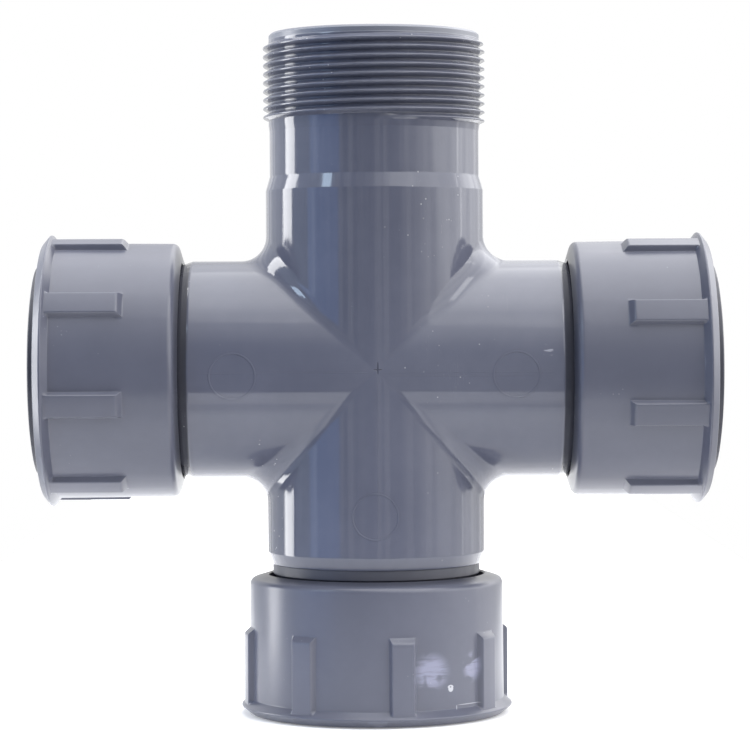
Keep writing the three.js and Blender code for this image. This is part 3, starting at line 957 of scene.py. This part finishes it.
def floor_finish():
    """Near white and darker at its front, with a bright glow at its front edge and a faint one behind it."""
    look = Finish("pale_floor", ior=1.45)
    colour = look.mottled(FLOOR_DARK, FLOOR_LIGHT, scale=3.0)
    colour = look.mix(look.spread(look.axis("Y"), *FLOOR_SHADE_FADE), FLOOR_FRONT_SHADE, colour)
    edge_glow = look.spread(look.axis("Y"), *FLOOR_EDGE_FADE, FLOOR_EDGE_GLOW, 0.0)
    main_glow = look.spread(look.axis("Y"), *FLOOR_GLOW_RISE, 0.0, FLOOR_GLOW)
    look.feed(look.shader.inputs["Emission Color"], WHITE)
    look.feed(look.shader.inputs["Emission Strength"], look.maths("ADD", edge_glow, main_glow))
    rough = look.uneven(12.0, 3.0, low=0.5, high=0.7)
    return look.finish(colour, rough, look.bump(look.noise(90.0, 2.0), 0.1, 0.0002))


# ---------------------------------------------------------------- the fitting

def add_piece(piece, body, node):
    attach(piece, body)
    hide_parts(node)


def make_fitting():
    """The cross, then each swivel port's tailpiece, O-ring, retaining ring and nut."""
    tail = tail_finish()
    seal = rubber_finish()
    ring = acetal_finish()
    add_piece(cross_moulding(body_finish()), "cross", "cross_body")
    for side, port in SWIVEL_PORTS.items():
        heading = port["heading"]
        face = port["nut_face"]
        add_piece(tail_moulding(side, heading, tail), "cross", side + "_tailpiece")
        add_piece(face_seal(side, heading, seal), "cross", side + "_o_ring")
        snap = snap_ring(side, heading, face, ring)
        add_piece(snap, side + "_swivel_ring", side + "_retaining_ring")
        skin = nut_finish(side, side == "bottom")
        nut = nut_moulding(side, heading, face, port["rib_turn"], skin)
        add_piece(nut, side + "_swivel_nut", side + "_nut")


# ---------------------------------------------------------------- studio

def make_camera():
    """Almost square to the front, a little above the crossing."""
    camera = bpy.data.objects.new("camera", bpy.data.cameras.new("camera"))
    bpy.context.collection.objects.link(camera)
    camera.data.sensor_width = CAMERA_SENSOR
    camera.data.lens = CAMERA_LENS
    camera.data.clip_start = CAMERA_NEAREST
    camera.location = Vector(CAMERA_PLACE)
    towards = Vector(CAMERA_AIM) - camera.location
    level = towards.to_track_quat("-Z", "Y").to_matrix()
    camera.rotation_euler = (level @ Matrix.Rotation(math.radians(CAMERA_ROLL), 3, "Z")).to_euler()
    bpy.context.scene.camera = camera


def make_floor():
    corners = [(-FLOOR_HALF_WIDTH, FLOOR_FRONT, 0), (FLOOR_HALF_WIDTH, FLOOR_FRONT, 0)]
    corners += [(FLOOR_HALF_WIDTH, FLOOR_BACK, 0), (-FLOOR_HALF_WIDTH, FLOOR_BACK, 0)]
    mesh = bpy.data.meshes.new("floor")
    mesh.from_pydata(corners, [], [(0, 1, 2, 3)])
    mesh.materials.append(floor_finish())
    floor = bpy.data.objects.new("floor", mesh)
    bpy.context.collection.objects.link(floor)
    floor.location.z = -FLOOR_GAP


def soft_light(name, azimuth, elevation, distance, size, radiance, colour=(1, 1, 1), seen=True):
    """An area light that faces the crossing. Azimuth 0 is in front, and 90 is to the left, in degrees.

    Its size is (width, height). An unseen light isn't mirrored in what it lights.
    """
    data = bpy.data.lights.new(name, "AREA")
    data.shape = "RECTANGLE"
    data.size, data.size_y = size
    data.energy = radiance * math.pi * size[0] * size[1]
    data.color = colour
    light = bpy.data.objects.new(name, data)
    bpy.context.collection.objects.link(light)
    turn = math.radians(azimuth)
    rise = math.radians(elevation)
    away = Vector((-math.sin(turn) * math.cos(rise), -math.cos(turn) * math.cos(rise), math.sin(rise)))
    light.location = away * distance + Vector((0, 0, CENTRE_HEIGHT * MM))
    light.rotation_euler = away.to_track_quat("Z", "Y").to_euler()
    light.visible_camera = False
    light.visible_glossy = seen


def make_lights():
    pale_blue = (0.7, 0.83, 1)
    window_blue = (0.62, 0.8, 1)
    blind_blue = (0.12, 0.34, 1)
    soft_light("left_strip", 104, 18, distance=0.7, size=(0.2, 1.2), radiance=9)
    soft_light("left_wall", 78, 8, distance=0.9, size=(0.5, 1.1), radiance=0.5, colour=pale_blue)
    soft_light("left_window", 56, 33, distance=1.1, size=(0.2, 0.28), radiance=9, colour=window_blue)
    soft_light("left_blind", 56, 4, distance=1.1, size=(0.7, 0.5), radiance=1.05, colour=blind_blue)
    soft_light("right_edge", -103, 8, distance=1.2, size=(0.03, 1.2), radiance=3)
    soft_light("right_lamp", -58, 52, distance=1.2, size=(0.6, 0.35), radiance=3)
    soft_light("front_fill", 10, 30, distance=2, size=(2, 1.6), radiance=0.25, seen=False)


class Sky:
    """The world's shader. It glows by direction, and its directions point away from the object."""

    def __init__(self, tree):
        self.nodes = tree.nodes
        self.links = tree.links
        direction = self.nodes.new("ShaderNodeTexCoord").outputs["Generated"]
        split = self.nodes.new("ShaderNodeSeparateXYZ")
        self.links.new(direction, split.inputs[0])
        self.right, self.back, self.up = split.outputs

    def rising(self, value, low, high, strength):
        """From 0 where the value is low to the strength where it is high."""
        node = self.nodes.new("ShaderNodeMapRange")
        node.interpolation_type = "SMOOTHSTEP"
        self.links.new(value, node.inputs[0])
        for socket, number in zip(node.inputs[1:5], (low, high, 0, strength)):
            socket.default_value = number
        return node.outputs[0]

    def stripes(self, strength):
        """Upright bands of faint light, as shelves and door frames leave in a glossy pipe."""
        node = self.nodes.new("ShaderNodeTexNoise")
        node.noise_dimensions = "1D"
        node.inputs["Scale"].default_value = STRIPE_SCALE
        node.inputs["Detail"].default_value = 2.0
        self.links.new(self.right, node.inputs["W"])
        return self.rising(node.outputs[0], *STRIPE_RANGE, strength)

    def weighted(self, value, weight, other):
        """The value times its weight, plus the other value."""
        node = self.nodes.new("ShaderNodeMath")
        node.operation = "MULTIPLY_ADD"
        self.links.new(value, node.inputs[0])
        node.inputs[1].default_value = weight
        self.links.new(other, node.inputs[2])
        return node.outputs[0]

    def glow(self, colour, strength):
        node = self.nodes.new("ShaderNodeBackground")
        node.inputs["Color"].default_value = colour
        if isinstance(strength, bpy.types.NodeSocket):
            self.links.new(strength, node.inputs["Strength"])
        else:
            node.inputs["Strength"].default_value = strength
        return node.outputs[0]

    def join(self, first, second):
        node = self.nodes.new("ShaderNodeAddShader")
        self.links.new(first, node.inputs[0])
        self.links.new(second, node.inputs[1])
        return node.outputs[0]

    def choose(self, share, first, second):
        """The first glow where the share is 0, and the second where it is 1."""
        node = self.nodes.new("ShaderNodeMixShader")
        self.links.new(share, node.inputs[0])
        self.links.new(first, node.inputs[1])
        self.links.new(second, node.inputs[2])
        return node.outputs[0]


def make_world():
    """White behind the object. What it mirrors is a room with glows at the back, to the sides and above."""
    world = bpy.data.worlds.new("studio")
    bpy.context.scene.world = world
    world.use_nodes = True
    sky = Sky(world.node_tree)
    leftness = sky.rising(sky.right, *LEFT_RANGE, LEFT_GLOW)
    tilted = sky.weighted(sky.up, RIGHT_UPWARD, sky.right)
    rightness = sky.rising(tilted, *RIGHT_RANGE, RIGHT_GLOW)
    doorway = sky.rising(tilted, *DOORWAY_RANGE, DOORWAY_GLOW)
    room = sky.join(sky.glow(ROOM_BLUE, ROOM_GLOW), sky.glow(LEFT_BLUE, leftness))
    room = sky.join(room, sky.join(sky.glow(WHITE, rightness), sky.glow(WHITE, doorway)))
    room = sky.join(room, sky.glow(WHITE, sky.stripes(STRIPE_GLOW)))
    overhead = sky.glow(WHITE, sky.rising(sky.up, *TOP_RANGE, TOP_GLOW))
    dimmer = sky.rising(sky.back, *BEHIND_RANGE, TOP_DIMMED_BEHIND)
    overhead = sky.choose(dimmer, overhead, sky.glow(WHITE, 0))
    backdrop = sky.glow(WHITE, sky.rising(sky.back, *BEHIND_RANGE, BEHIND_GLOW))
    room = sky.join(sky.join(room, overhead), backdrop)
    path = sky.nodes.new("ShaderNodeLightPath")
    seen = sky.choose(path.outputs["Is Camera Ray"], room, sky.glow(WHITE, 1))
    sky.links.new(seen, sky.nodes["World Output"].inputs["Surface"])


make_camera()
make_floor()
make_lights()
make_world()
make_fitting()
bpy.context.scene.view_settings.view_transform = "Standard"
